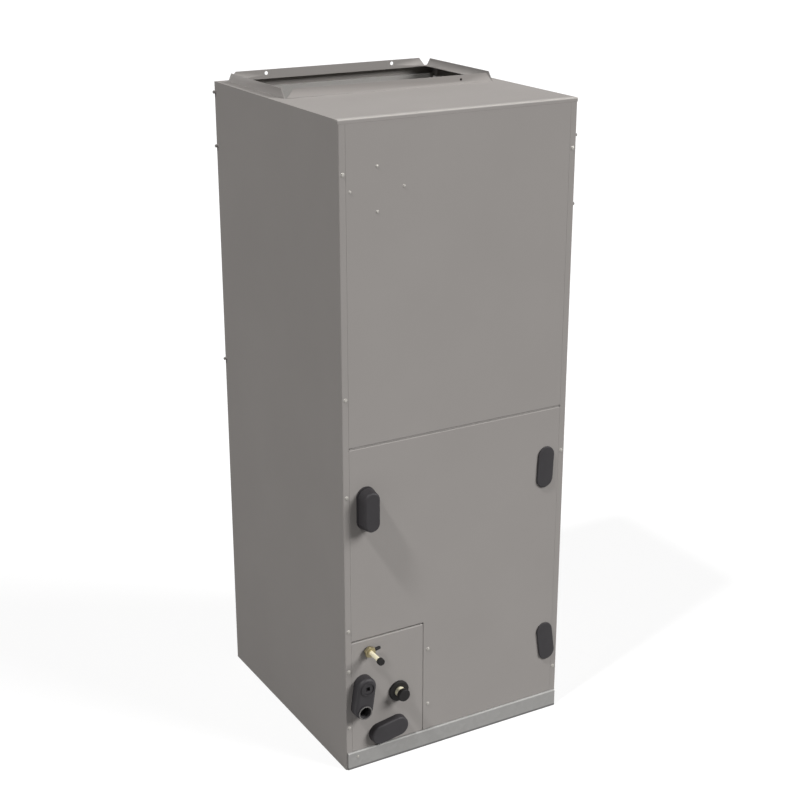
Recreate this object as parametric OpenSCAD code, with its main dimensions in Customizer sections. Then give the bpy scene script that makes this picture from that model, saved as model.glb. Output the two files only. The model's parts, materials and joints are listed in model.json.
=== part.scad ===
/* Upright air handling unit in a sheet steel cabinet: blower section over coil section,
   return air through the base, supply air through a flanged opening in the top.
   Millimetres, +Z up, front faces -Y, origin at the centre of the return opening in the base plane. */

/* [Cabinet] */
// Width of the cabinet across the front
cab_w = 533; // [500:1:620]
// Depth of the cabinet from front to back
cab_d = 556; // [540:1:620]
// Height of the cabinet without the duct flange
cab_h = 1366; // [1320:1:1500]
// Thickness of the cabinet sheet
sheet = 1; // [0.8:0.1:1.2]
// Outside radius of the folded cabinet edges
bend_r = 3; // [2:0.5:4]
// Width of the side panels' returns on the front
return_w = 15; // [14:0.5:16]
// Width of the back panel's folds inside the side panels
back_fold = 25; // [18:1:30]
// Open joint between neighbouring panels
joint = 0.3; // [0.2:0.1:0.9]

/* [Top and supply opening] */
// Outside radius of the top panel's front edge
top_r = 5; // [3:0.5:7]
// Height of the top panel's front lip
lip_h = 8; // [8:0.5:16]
// Open joint under that lip
lip_joint = 0.2; // [0.1:0.1:1]
// Depth of the top panel's folds inside the side panels
top_fold = 18; // [12:1:25]
// Clear width of the supply opening
supply_w = 482; // [400:1:488]
// Clear depth of the supply opening
supply_d = 274; // [220:1:280]
// Distance from the back of the cabinet to the supply opening
supply_back = 15; // [12:0.5:20]
// Height of the duct flange above the top
flange_h = 18.5; // [16:0.5:30]
// Run of the slanted ends of the duct flange
flange_slant = 16; // [6:0.5:20]
// Radius of the bend at the foot of the duct flange
flange_bend = 1.5; // [1:0.5:4]
// Diameter of the screw holes in the back of the duct flange
flange_hole_d = 8; // [4:0.5:9]
// Height of the screw holes above the top
flange_hole_z = 11; // [9:0.5:13]
// Distance between the screw holes
flange_hole_span = 306; // [200:1:340]
// Diameter of the screw hole in the front of the duct flange
front_hole_d = 5.5; // [4:0.5:8]
// Distance of that hole from the middle
front_hole_x = 162; // [100:1:190]
// Height of that hole above the top
front_hole_z = 9; // [8:0.5:11]

/* [Front panels] */
// Height of the joint between the two large panels
seam_z = 723; // [700:1:760]
// Open width of that joint
seam_gap = 1.5; // [1:0.5:3]
// Depth of the panels' folded edges
panel_fold = 14; // [10:1:18]
// Reach of a panel's flange behind its neighbour
lap_w = 11; // [9:0.5:11]
// Width of the connection panel
conn_w = 170; // [165:1:180]
// Height of the connection panel's upper edge
conn_top = 297; // [292:1:320]
// Open joint along the connection panel's top and right edges
conn_gap = 1.5; // [1:0.5:3]

/* [Base] */
// Height of the front rail
rail_h = 41; // [32:0.5:44]
// Distance the front rail stands out
rail_out = 4.5; // [4:0.5:9]
// Distance from the cabinet's sides to the rail's ends
rail_inset = 3.5; // [3:0.5:12]
// Height of the base pan's folded edges
base_fold = 30; // [20:1:31]
// Width of the return opening
intake_w = 430; // [380:1:440]
// Depth of the return opening
intake_d = 430; // [380:1:440]
// Height of the collar round the return opening
intake_collar = 16; // [10:1:22]

/* [Drain covers] */
// Width of the upright drain cap and of the drain port block
cover_w = 42.5; // [40:0.5:45]
// Length of the upright drain cap and of the drain port block
cover_l = 93; // [88:0.5:98]
// Width of the oblong slots behind them
slot_w = 30; // [27:0.5:31]
// Distance from the left side to the upper left cap's centre
upper_left_in = 51.5; // [48:0.5:56]
// Distance from the right side to the upper right plug's centre
upper_right_in = 48.5; // [48:0.5:56]
// Distance from the joint between the large panels down to the upper cap's and plug's centres
cover_drop = 131; // [113:1:143]
// Distance from the left side to the drain port block's centre
lower_left_in = 37; // [35:0.5:39]
// Distance from the right side to the lower right plug's centre
lower_right_in = 32.5; // [32.5:0.5:36]
// Height of the lower plug's and block's centres
lower_cover_z = 172; // [168:1:176]
// Distance the upper left cap stands out
tall_cap_out = 30; // [24:0.5:34]
// Draft of that cap's sides over its height
tall_cap_draft = 4; // [2:0.5:5]
// Radius of the caps' outer edges
cap_r = 4; // [2:0.5:5]
// Thickness of the upper left cap's foot, up to its groove
cap_foot = 4; // [3:0.5:8]
// Width of that groove
groove_w = 2; // [1:0.5:4]
// Depth of that groove
groove_t = 3.5; // [2:0.5:4.5]
// Width of the flat plugs
plug_w = 40; // [38:0.5:42]
// Length of the flat plugs
plug_l = 92; // [88:0.5:96]
// Width of the slots behind the flat plugs
plug_slot_w = 28; // [24:0.5:29]
// Distance the flat plugs stand out
plug_out = 3.5; // [2:0.5:5]
// Distance from the left side to the lying front drain cap's centre
front_cap_x = 99.5; // [98:0.5:106]
// Height of the front drain cap's centre
front_cap_z = 73; // [71:0.5:76]
// Width of the front drain cap
front_cap_w = 46; // [43:0.5:48]
// Length of the front drain cap
front_cap_l = 90; // [84:0.5:92]
// Distance the front drain cap stands out
front_cap_out = 15; // [8:0.5:18]
// Draft of that cap's sides over its height
front_cap_draft = 1; // [0.5:0.5:3]
// Slope of the front drain cap, in degrees
front_cap_slope = 9; // [0:1:12]
// Distance the drain port block stands out
port_out = 26.5; // [18:0.5:28]
// Lean of the drain port block, in degrees
port_lean = 8; // [0:1:10]
// Radius of the drain port block's outer edge
port_r = 7; // [4:0.5:8]
// Diameter of the drain sockets
socket_d = 26; // [22:0.5:27]
// Thickness left behind the drain sockets
socket_floor = 4; // [2:0.5:6]
// Wall of the raised rims round the drain sockets
socket_wall = 2.5; // [2:0.5:3]
// Height of those rims
socket_rim = 2.5; // [1:0.5:4]
// Distance from the block's centre down to the lower socket, along the block
lower_socket_down = 30; // [28:0.5:31]
// Distance from the block's centre up to the upper socket, along the block
upper_socket_up = 24; // [20:0.5:25]

/* [Refrigerant lines] */
// Outside diameter of the liquid line
liquid_d = 9.5; // [8:0.1:12.7]
// Distance from the left side to the liquid line
liquid_x = 55; // [52:0.5:60]
// Height of the liquid line
liquid_z = 270; // [258:0.5:272]
// Distance the liquid line stands out
liquid_out = 54; // [40:1:60]
// Width of the liquid line's nut across its flats
nut_w = 22; // [20:0.5:26]
// Length of that nut
nut_l = 7; // [7:0.5:12]
// Slope of the service port on the nut, in degrees
port_slope = 12; // [0:1:30]
// Length of the service port's cap
port_cap_l = 14; // [12:0.5:20]
// Diameter of the service port's cap
port_cap_d = 7; // [6:0.5:8]
// Outside diameter of the suction line
suction_d = 22.2; // [19:0.1:25.4]
// Distance from the left side to the suction line
suction_x = 126; // [122:0.5:130]
// Height of the suction line
suction_z = 156; // [150:0.5:160]
// Distance the suction line stands out
suction_out = 24; // [18:1:34]
// Diameter of the suction line's grommet
grommet_d = 46; // [42:0.5:50]

/* [Blower] */
// Height of the plenum between the blower deck and the top
plenum_h = 216; // [186:1:236]
// Width of the blower housing
blower_w = 280; // [250:1:310]
// Depth of the blower outlet
outlet_d = 258; // [240:1:262]
// Outside diameter of the blower wheel
wheel_d = 254; // [240:1:260]
// Number of blades on the wheel
blades = 44; // [30:1:52]
// Room between the wheel's ends and the housing, both together
wheel_room = 30; // [24:1:40]
// Diameter of the motor
motor_d = 138; // [120:1:150]
// Distance the motor stands out of the housing
motor_over = 24; // [22:1:40]
// Length of the shaft past the wheel's middle
shaft_tail = 26; // [22:1:40]
// Width of the band round the motor
band_w = 20; // [14:1:22]
// Height of the blower deck's front fold
deck_fold = 24; // [16:1:30]

/* [Coil] */
// Thickness of a coil slab
slab_t = 44; // [36:1:50]
// Height of a coil slab along its slope
slab_h = 540; // [480:1:560]
// Length of a coil slab from front to back
slab_l = 470; // [430:1:480]
// Distance from the drain pan's sides in to the slabs' feet
slab_in = 60.5; // [54:0.5:70]
// Height of the underside of the drain pan
pan_z = 60; // [56:1:70]
// Height of the drain pan
pan_h = 40; // [34:1:46]
// Room between the slabs' inner faces and the drain pan's inner wall
toe_clear = 3.5; // [2:0.5:8]
// Width of the drain pan's front and back troughs
end_trough = 34; // [28:1:40]
// Height from the drain pan's inner wall up to its rim
inner_drop = 10; // [6:1:12]
// Thickness of the insulation
liner_t = 13; // [10:0.5:13]
// Height of the bare strip above the insulation on the back
bare_h = 17.5; // [10:0.5:30]

/* [Hidden] */
$fn = 48;
eps = 0.01;
clear = 0.3;

paint = "#96928f";
zinc = "#a9aaaa";
black_plastic = "#434144";
rubber = "#1e1c1b";
brass = "#cfb070";
felt = "#4b4846";
fins = "#b9bcbd";

hw = cab_w / 2;
hd = cab_d / 2;
front_y = -hd;
in_x = hw - sheet;
room_x = in_x - liner_t;
face_x = hw - return_w - joint;
side_top = cab_h - sheet;
lip_z = cab_h - lip_h;

supply_y1 = hd - supply_back;
supply_y0 = supply_y1 - supply_d;

upper_z0 = seam_z + seam_gap / 2;
upper_z1 = lip_z - lip_joint;
tuck = 8;
coil_z1 = seam_z - seam_gap / 2;
coil_z0 = conn_top + conn_gap;
low_z = rail_h + joint;
hem_z = low_z - 2 * bend_r;
conn_x0 = -face_x;
conn_x1 = conn_x0 + conn_w;

upper_cover_z = seam_z - cover_drop;
tall_cap_at = [upper_left_in - hw, upper_cover_z];
upper_plug_at = [hw - upper_right_in, upper_cover_z];
lower_plug_at = [hw - lower_right_in, lower_cover_z];
block_at = [lower_left_in - hw, lower_cover_z];
front_cap_at = [front_cap_x - hw, front_cap_z];
slot_l = cover_l - (cover_w - slot_w);
plug_slot_l = plug_l - (plug_w - plug_slot_w);
front_slot_w = front_cap_w - (cover_w - slot_w);
front_slot_l = front_cap_l - (cover_w - slot_w);
front_cap_lean = 90 - front_cap_slope;
port_axis = [sin(port_lean), cos(port_lean)];
upper_socket_at = block_at + upper_socket_up * port_axis;
lower_socket_at = block_at - lower_socket_down * port_axis;
port_y = front_y - port_out;
socket_y = front_y - socket_floor;
liquid_at = [liquid_x - hw, liquid_z];
suction_at = [suction_x - hw, suction_z];
suction_hole_d = suction_d + 14;
liquid_hole_d = liquid_d + 5;
liquid_lip = 2.5;
nut_y = front_y - liquid_lip - 0.5;

deck_z = cab_h - plenum_h;
outlet_y1 = supply_y1 - 4;
outlet_y0 = outlet_y1 - outlet_d;
wheel_r = wheel_d / 2;
tongue_a = 112;
tongue_r = wheel_r + 12;
axis_y = outlet_y0 - tongue_r * cos(tongue_a);
axis_z = deck_z - tongue_r * sin(tongue_a) - 36;
scroll_r1 = outlet_y1 - axis_y;
inlet_r = wheel_r * 0.82;
shaft_d = 12.7;
wheel_w = blower_w - wheel_room;
deck_under = deck_z - sheet;
hang_w = 16;

pan_wall = 3;
pan_x = room_x - 2;
pan_y = slab_l / 2 + 15;
trough_floor = pan_z + pan_wall;
slab_foot = 2 * (pan_x - slab_in);
slab_a = asin((slab_foot / 2 - 0.3) / slab_h);
pan_in_x = slab_foot / 2 - (pan_h - inner_drop - pan_wall) * tan(slab_a) - toe_clear;
liner_z0 = base_fold + 4;
liner_z1 = side_top - top_fold - 2;
angle_w = 22;

// Box given by two opposite corners
module box(a, b) {
    translate(a) cube(b - a);
}

// Stretched circle standing upright in the XY plane
module oblong(w, l) {
    square([w, l - w], center = true);
    translate([0, (l - w) / 2]) circle(w / 2);
    translate([0, -(l - w) / 2]) circle(w / 2);
}

// Stretched circle on the front plane, reaching from y0 to y1, turned clockwise by lean
module front_oblong(at, w, l, y0, y1, lean = 0) {
    translate([at[0], y1, at[1]])
        rotate([90, 0, 0])
            linear_extrude(y1 - y0)
                rotate(-lean) oblong(w, l);
}

// Half section of an oblong block, its side drawn in by draft and its upper edge rounded
module half_section(w, h, r, draft = 0) {
    top = w / 2 - draft;
    polygon([[0, 0], [w / 2, 0], [top, h - r], [0, h - r]]);
    square([top - r, h]);
    translate([top - r, h - r])
        intersection() {
            circle(r);
            square(r);
        }
}

// Oblong block on the XY plane, its upper edge rounded
module pill(w, l, h, r, draft) {
    for (turn = [0, 180])
        rotate(turn)
            translate([0, (l - w) / 2, 0]) rotate_extrude(angle = 180) half_section(w, h, r, draft);
    translate([0, (l - w) / 2, 0])
        rotate([90, 0, 0])
            linear_extrude(l - w)
                for (side = [0, 1])
                    mirror([side, 0, 0]) half_section(w, h, r, draft);
}

// Such a block on the front plane, standing out by out, turned clockwise by lean
module front_pill(at, w, l, out, r, lean = 0, draft = 0) {
    translate([at[0], front_y, at[1]])
        rotate([90, 0, 0])
            rotate(-lean) pill(w, l, out, r, draft);
}

// Round bar along Y from y0 to y1
module rod_y(at, d, y0, y1) {
    translate([at[0], y1, at[1]]) rotate([90, 0, 0]) cylinder(d = d, h = y1 - y0);
}

// Block whose two front edges along X are rounded
module soft_block(x0, x1, z0, z1, y0, y1, r) {
    box([x0, y0 + r, z0], [x1, y1, z1]);
    box([x0, y0, z0 + r], [x1, y0 + r + eps, z1 - r]);
    for (z = [z0 + r, z1 - r])
        translate([x0, y0 + r, z]) rotate([0, 90, 0]) cylinder(r = r, h = x1 - x0);
}

// Panel sheet with its upper and lower edges folded back
module folded_sheet(x0, x1, z0, z1) {
    difference() {
        soft_block(x0, x1, z0, z1, front_y, front_y + panel_fold, bend_r);
        soft_block(x0 - 1, x1 + 1, z0 + sheet, z1 - sheet,
            front_y + sheet, front_y + panel_fold + 1, bend_r - sheet);
    }
}

// Cuts a panel off plain above the front rail
module plain_foot() {
    difference() {
        children();
        box([-hw, front_y - 1, hem_z - 1], [hw, front_y + panel_fold + 1, low_z]);
    }
}

// Offset flange along a panel's side edge; reach is signed
module lap(x, reach, z0, z1) {
    x0 = reach > 0 ? x - 8 : x + reach;
    x1 = reach > 0 ? x + reach : x + 8;
    box([x0, front_y + sheet, z0 + 6], [x1, front_y + 2 * sheet, z1 - 6]);
}

// Left side panel: flat wall with a folded front return
module side_panel() {
    difference() {
        linear_extrude(side_top) {
            translate([-hw, front_y + bend_r]) square([sheet, cab_d - bend_r]);
            translate([-hw + bend_r, front_y]) square([return_w - bend_r, sheet]);
            translate([-hw + bend_r, front_y + bend_r])
                intersection() {
                    difference() {
                        circle(bend_r);
                        circle(bend_r - sheet);
                    }
                    translate([-bend_r, -bend_r]) square(bend_r);
                }
        }
        box([-hw - 1, front_y - 1, lip_z - lip_joint],
            [-hw + return_w + 1, front_y + sheet + clear, cab_h]);
        translate([-hw - 1, front_y + top_r, cab_h - top_r])
            rotate([0, 90, 0])
                difference() {
                    translate([-top_r, -top_r, 0]) cube([top_r, top_r, sheet + 2]);
                    translate([0, 0, -1]) cylinder(r = top_r - sheet - clear, h = sheet + 4);
                }
    }
}

module left_side_panel() {
    color(paint) side_panel();
}

module right_side_panel() {
    color(paint) mirror([1, 0, 0]) side_panel();
}

module back_panel() {
    color(paint) {
        box([-in_x, hd - sheet, 0], [in_x, hd, side_top]);
        for (s = [-1, 1])
            box([s > 0 ? in_x - sheet : -in_x, hd - back_fold, sheet],
                [s > 0 ? in_x : -in_x + sheet, hd - sheet + eps, side_top - clear]);
    }
}

// One side of the duct flange, its ends cut on a slant, with the bend at its foot on the -Y side
module flange_side(run) {
    rotate([90, 0, 0])
        linear_extrude(sheet)
            polygon([[-run / 2, 0], [run / 2, 0],
                [run / 2 - flange_slant, flange_h + sheet], [-run / 2 + flange_slant, flange_h + sheet]]);
    translate([-run / 2 + flange_bend, -sheet, sheet])
        rotate([90, 0, 90])
            linear_extrude(run - 2 * flange_bend)
                difference() {
                    translate([-flange_bend, -eps]) square(flange_bend + eps);
                    translate([-flange_bend, flange_bend]) circle(flange_bend);
                }
}

module top_panel() {
    corner = 1.5;
    color(paint)
        difference() {
            union() {
                difference() {
                    union() {
                        box([-hw, front_y + top_r, side_top], [hw, hd, cab_h]);
                        box([-hw, front_y, lip_z], [hw, front_y + sheet, cab_h - top_r]);
                        translate([-hw, front_y + top_r, cab_h - top_r])
                            rotate([0, 90, 0])
                                intersection() {
                                    difference() {
                                        cylinder(r = top_r, h = cab_w);
                                        translate([0, 0, -1]) cylinder(r = top_r - sheet, h = cab_w + 2);
                                    }
                                    translate([-top_r - 1, -top_r - 1, 0]) cube([top_r + 1, top_r + 1, cab_w]);
                                }
                    }
                    box([-supply_w / 2, supply_y0, side_top - 1], [supply_w / 2, supply_y1, cab_h + 1]);
                }
                translate([0, supply_y0, side_top]) flange_side(supply_w - 2 * corner);
                translate([0, supply_y1, side_top]) rotate(180) flange_side(supply_w - 2 * corner);
                for (s = [-1, 1])
                    translate([s * supply_w / 2, (supply_y0 + supply_y1) / 2, side_top])
                        rotate(s * 90) flange_side(supply_d - 2 * corner);
                for (s = [-1, 1])
                    box([s > 0 ? in_x - sheet : -in_x, front_y + back_fold, side_top - top_fold],
                        [s > 0 ? in_x : -in_x + sheet, hd - back_fold - 1, side_top + eps]);
            }
            for (s = [-1, 1])
                rod_y([s * flange_hole_span / 2, cab_h + flange_hole_z], flange_hole_d,
                    supply_y1 - 9, supply_y1 + 9);
            rod_y([front_hole_x, cab_h + front_hole_z], front_hole_d, supply_y0 - 9, supply_y0 + 9);
        }
}

// Blower panel, its plain top edge tucked behind the top panel's lip
module upper_front_panel() {
    color(paint) {
        difference() {
            folded_sheet(-face_x, face_x, upper_z0, upper_z1 + 2 * bend_r);
            box([-hw, front_y - 1, upper_z1], [hw, front_y + panel_fold + 1, cab_h]);
        }
        box([-face_x + tuck, front_y + sheet, upper_z1 - tuck],
            [face_x - tuck, front_y + 2 * sheet, cab_h - top_r]);
        lap(-face_x, -lap_w, upper_z0, upper_z1);
        lap(face_x, lap_w, upper_z0, upper_z1);
    }
}

// Large lower panel, notched at its lower left for the connection panel
module coil_access_panel() {
    x0 = conn_x1 + conn_gap;
    color(paint) {
        plain_foot() difference() {
            union() {
                soft_block(-face_x, face_x, coil_z0, coil_z1, front_y, front_y + panel_fold, bend_r);
                soft_block(x0, face_x, hem_z, coil_z1, front_y, front_y + panel_fold, bend_r);
            }
            soft_block(-face_x - 1, face_x + 1, coil_z0 + sheet, coil_z1 - sheet,
                front_y + sheet, front_y + panel_fold + 1, bend_r - sheet);
            soft_block(x0, face_x + 1, hem_z + sheet, coil_z1 - sheet,
                front_y + sheet, front_y + panel_fold + 1, bend_r - sheet);
            front_oblong(tall_cap_at, slot_w, slot_l, front_y - 1, front_y + 4);
            front_oblong(upper_plug_at, plug_slot_w, plug_slot_l, front_y - 1, front_y + 4);
            front_oblong(lower_plug_at, plug_slot_w, plug_slot_l, front_y - 1, front_y + 4);
        }
        lap(-face_x, -lap_w, coil_z0, coil_z1);
        lap(face_x, lap_w, low_z + cover_l + lower_cover_z, coil_z1);
    }
}

module connection_panel() {
    color(paint) {
        plain_foot() difference() {
            folded_sheet(conn_x0, conn_x1, hem_z, conn_top);
            front_oblong(block_at, slot_w, slot_l, front_y - 1, front_y + 4, port_lean);
            front_oblong(front_cap_at, front_slot_w, front_slot_l, front_y - 1, front_y + 4, front_cap_lean);
            rod_y(liquid_at, liquid_hole_d, front_y - 1, front_y + 4);
            rod_y(suction_at, suction_hole_d, front_y - 1, front_y + 4);
        }
        lap(conn_x1, lap_w, low_z, conn_top);
        lap(conn_x0, -lap_w, low_z + lower_cover_z + slot_l / 2 - 30, conn_top);
    }
}

// Channel across the foot of the front, closed at its ends and open towards the cabinet
module base_rail() {
    x = hw - rail_inset;
    r = rail_out - sheet;
    color(zinc)
        difference() {
            soft_block(-x, x, 0, rail_h, front_y - rail_out, front_y, r);
            soft_block(-x + sheet, x - sheet, sheet, rail_h - sheet,
                front_y - rail_out + sheet, front_y + 1, r - sheet);
            box([-x - 1, front_y, -1], [x + 1, front_y + r, rail_h + 1]);
        }
}

// Floor frame with folded edges and a collar round the return opening
module base_pan() {
    x = intake_w / 2;
    y = intake_d / 2;
    color(zinc)
        difference() {
            union() {
                box([-in_x, front_y + bend_r, 0], [in_x, hd - sheet, sheet]);
                box([-face_x, front_y, 0], [face_x, front_y + bend_r + eps, sheet]);
                box([-face_x, front_y, 0], [face_x, front_y + sheet, rail_h - 2]);
                box([-x - sheet, -y - sheet, 0], [x + sheet, y + sheet, intake_collar]);
                for (s = [-1, 1])
                    box([s > 0 ? in_x - sheet : -in_x, front_y + back_fold, 0],
                        [s > 0 ? in_x : -in_x + sheet, hd - back_fold - 1, base_fold]);
            }
            box([-x, -y, -1], [x, y, intake_collar + 1]);
        }
}

// Snap-in cover: rounded head on the face, skirt through the slot, hollow from behind
module slot_cover(at, w, l, hole_w, hole_l, out, r, lean = 0, draft = 0) {
    wall = 2.5;
    skirt_w = hole_w - 2 * clear;
    skirt_l = hole_l - 2 * clear;
    difference() {
        union() {
            front_pill(at, w, l, out, r, lean, draft);
            front_oblong(at, skirt_w, skirt_l, front_y - eps, front_y + 9, lean);
        }
        front_oblong(at, skirt_w - 2 * wall, skirt_l - 2 * wall,
            front_y - max(out - wall, 0.5), front_y + 10, lean);
    }
}

module upper_left_drain_cap() {
    y1 = front_y - cap_foot;
    y0 = y1 - groove_w;
    color(black_plastic)
        difference() {
            slot_cover(tall_cap_at, cover_w, cover_l, slot_w, slot_l, tall_cap_out, cap_r,
                draft = tall_cap_draft);
            difference() {
                front_oblong(tall_cap_at, cover_w + 2, cover_l + 2, y0, y1);
                front_oblong(tall_cap_at, cover_w - 2 * groove_t, cover_l - 2 * groove_t, y0 - 1, y1 + 1);
            }
        }
}

// Flat plug with a softened edge
module flat_plug(at) {
    slot_cover(at, plug_w, plug_l, plug_slot_w, plug_slot_l, plug_out, plug_out / 2);
}

module upper_right_drain_plug() {
    color(black_plastic) flat_plug(upper_plug_at);
}

module lower_right_drain_plug() {
    color(black_plastic) flat_plug(lower_plug_at);
}

module front_drain_cap() {
    color(black_plastic)
        slot_cover(front_cap_at, front_cap_w, front_cap_l, front_slot_w, front_slot_l,
            front_cap_out, cap_r, front_cap_lean, front_cap_draft);
}

// Outlet block of the drain with two rimmed sockets in its face
module drain_port_block() {
    color(black_plastic)
        difference() {
            union() {
                front_pill(block_at, cover_w, cover_l, port_out - socket_rim, port_r, port_lean);
                front_oblong(block_at, slot_w - 2 * clear, slot_l - 2 * clear, front_y - eps, front_y + 9,
                    port_lean);
                for (at = [upper_socket_at, lower_socket_at])
                    rod_y(at, socket_d + 2 * socket_wall, port_y, front_y);
            }
            for (at = [upper_socket_at, lower_socket_at])
                rod_y(at, socket_d, port_y - 1, socket_y);
        }
}

// Plug in the upper socket with a square recess for a driver
module upper_socket_plug() {
    y0 = port_y + 2;
    recess = 9;
    color(black_plastic)
        difference() {
            rod_y(upper_socket_at, socket_d - 2 * clear, y0, socket_y);
            box([upper_socket_at[0] - recess / 2, y0 - 1, upper_socket_at[1] - recess / 2],
                [upper_socket_at[0] + recess / 2, y0 + 6, upper_socket_at[1] + recess / 2]);
        }
}

// Metal stub along Y with its bore open at both ends
module stub(at, d, y0, y1) {
    difference() {
        rod_y(at, d, y0, y1);
        rod_y(at, d - 2.2, y0 - 1, y1 + 1);
    }
}

// Soft cap over the end of a stub, its outer edge rounded
module stub_cap(at, d, wall, y0, len) {
    translate([at[0], y0 - 3 + len, at[1]])
        rotate([90, 0, 0])
            difference() {
                rotate_extrude() half_section(d + 2 * wall, len, 2);
                translate([0, 0, -1]) cylinder(d = d + 2 * clear, h = len - 2);
            }
}

// Grooved ring that sits in a round panel hole, its outer lip rounded
module grommet(at, d, hole, bore, out) {
    difference() {
        union() {
            translate([at[0], front_y, at[1]])
                rotate([90, 0, 0]) rotate_extrude() half_section(d, out, out * 0.6);
            rod_y(at, hole - 2 * clear, front_y - eps, front_y + sheet + clear);
            rod_y(at, d - 4, front_y + sheet + clear - eps, front_y + sheet + 3);
        }
        rod_y(at, bore + 2 * clear, front_y - out - 1, front_y + sheet + 4);
    }
}

module liquid_line() {
    color(brass) stub(liquid_at, liquid_d, front_y - liquid_out, front_y + 28);
}

// Hexagon nut with chamfered corners on a round collar
module liquid_line_nut() {
    r = nut_w / cos(30) / 2;
    chamfer = 1.5;
    color(brass)
        difference() {
            union() {
                translate([liquid_at[0], nut_y, liquid_at[1]])
                    rotate([90, 0, 0])
                        intersection() {
                            rotate(30 + port_slope) cylinder(r = r, h = nut_l, $fn = 6);
                            rotate_extrude()
                                polygon([[0, 0], [r - chamfer, 0], [r, chamfer / 2],
                                    [r, nut_l - chamfer / 2], [r - chamfer, nut_l], [0, nut_l]]);
                        }
                rod_y(liquid_at, nut_w - 6, nut_y - nut_l - 2, front_y - liquid_lip);
            }
            rod_y(liquid_at, liquid_d + 2 * clear, nut_y - nut_l - 3, front_y);
        }
}

// Cap of the service port, standing on one flat of the nut
module service_port_cap() {
    color(rubber)
        translate([liquid_at[0], nut_y - nut_l / 2, liquid_at[1]])
            rotate([0, -port_slope, 0])
                translate([nut_w / 2, 0, 0])
                    rotate([0, 90, 0])
                        rotate_extrude() half_section(port_cap_d, port_cap_l, port_cap_d / 2 - 1);
}

module liquid_line_cap() {
    color(rubber) stub_cap(liquid_at, liquid_d, 2.8, front_y - liquid_out, 9);
}

module liquid_line_grommet() {
    color(rubber) grommet(liquid_at, liquid_hole_d + 6, liquid_hole_d, liquid_d, liquid_lip);
}

module suction_line() {
    color(brass) stub(suction_at, suction_d, front_y - suction_out, -slab_l / 2 - sheet);
}

module suction_line_cap() {
    color(rubber) stub_cap(suction_at, suction_d, 2.5, front_y - suction_out, 9);
}

module suction_line_grommet() {
    color(rubber) grommet(suction_at, grommet_d, suction_hole_d, suction_d, 6);
}

// Insulation board on the left wall
module side_liner() {
    box([-in_x, front_y + panel_fold + 2, liner_z0], [-room_x, hd - back_fold - 2, liner_z1]);
}

module left_liner() {
    color(felt) side_liner();
}

module right_liner() {
    color(felt) mirror([1, 0, 0]) side_liner();
}

module back_liner() {
    x = in_x - sheet - 1;
    color(felt) box([-x, hd - sheet - liner_t, liner_z0], [x, hd - sheet, cab_h - bare_h]);
}

module front_liner() {
    x = face_x - 10;
    color(felt)
        box([-x, front_y + sheet, upper_z0 + sheet + 2], [x, front_y + panel_fold, upper_z1 - tuck - 1]);
}

// Shelf that carries the blower and closes the plenum off from it
module blower_deck() {
    x = room_x - 0.5;
    y0 = front_y + panel_fold + 4;
    y1 = hd - sheet - liner_t - 0.5;
    color(zinc) {
        difference() {
            box([-x, y0, deck_under], [x, y1, deck_z]);
            box([-blower_w / 2, outlet_y0, deck_under - 1], [blower_w / 2, outlet_y1, deck_z + 1]);
        }
        box([-x, y0, deck_z - deck_fold], [x, y0 + sheet, deck_z]);
    }
}

// Angle on the left wall that carries a shelf at height z
module shelf_angle(z) {
    y0 = front_y + panel_fold + 10;
    y1 = hd - back_fold - 4;
    box([-room_x, y0, z - angle_w], [-room_x + sheet, y1, z]);
    box([-room_x, y0, z - sheet], [-room_x + angle_w, y1, z]);
}

module left_deck_rail() {
    color(zinc) shelf_angle(deck_under);
}

module right_deck_rail() {
    color(zinc) mirror([1, 0, 0]) shelf_angle(deck_under);
}

// Spiral of the blower housing, drawn in from its outer face by inset
function spiral_r(a) = tongue_r + (scroll_r1 - tongue_r) * (a - tongue_a) / (360 - tongue_a);
function spiral(inset) = [for (a = [tongue_a : 6.2 : 360])
    [axis_y + (spiral_r(a) - inset) * cos(a), axis_z + (spiral_r(a) - inset) * sin(a)]];

// Outline of the housing in the YZ plane, open towards the deck
module housing_shape(inset, top) {
    polygon(concat(spiral(inset),
        [[outlet_y1 - inset, axis_z], [outlet_y1 - inset, top], [outlet_y0 + inset, top]]));
}

// Extrudes a YZ outline along X from x0 to x1
module along_x(x0, x1) {
    translate([x0, 0, 0]) rotate([90, 0, 90]) linear_extrude(x1 - x0) children();
}

// Housing cheek on the left with its round inlet and the flange that hangs it from the deck
module cheek() {
    x = blower_w / 2;
    difference() {
        along_x(-x - sheet, -x) housing_shape(0, deck_under);
        translate([-x - 2, axis_y, axis_z]) rotate([0, 90, 0]) cylinder(r = inlet_r + 3, h = 4);
    }
    translate([-x - sheet, axis_y, axis_z])
        rotate([0, 90, 0])
            rotate_extrude()
                difference() {
                    translate([inlet_r, 0]) square([14, 14]);
                    translate([inlet_r + 14 + sheet, 14 + sheet]) circle(14);
                    translate([inlet_r + 4, sheet]) square([11, 14]);
                }
    box([-x - hang_w, outlet_y0, deck_under - sheet], [-x, outlet_y1, deck_under]);
}

module blower_left_plate() {
    color(zinc) cheek();
}

module blower_right_plate() {
    color(zinc) mirror([1, 0, 0]) cheek();
}

module blower_scroll() {
    color(zinc)
        along_x(-blower_w / 2, blower_w / 2)
            difference() {
                housing_shape(0, deck_under);
                housing_shape(sheet, deck_under + 1);
            }
}

// Forward-curved blade drawn at the wheel's rim
function blade_side(r0, r1, off) = [for (s = [0 : 0.25 : 1])
    let (r = r0 + (r1 - r0) * s, a = 16 * s * s - 5 * s + off) [r * cos(a), r * sin(a)]];
function reversed(p) = [for (i = [len(p) - 1 : -1 : 0]) p[i]];

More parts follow.
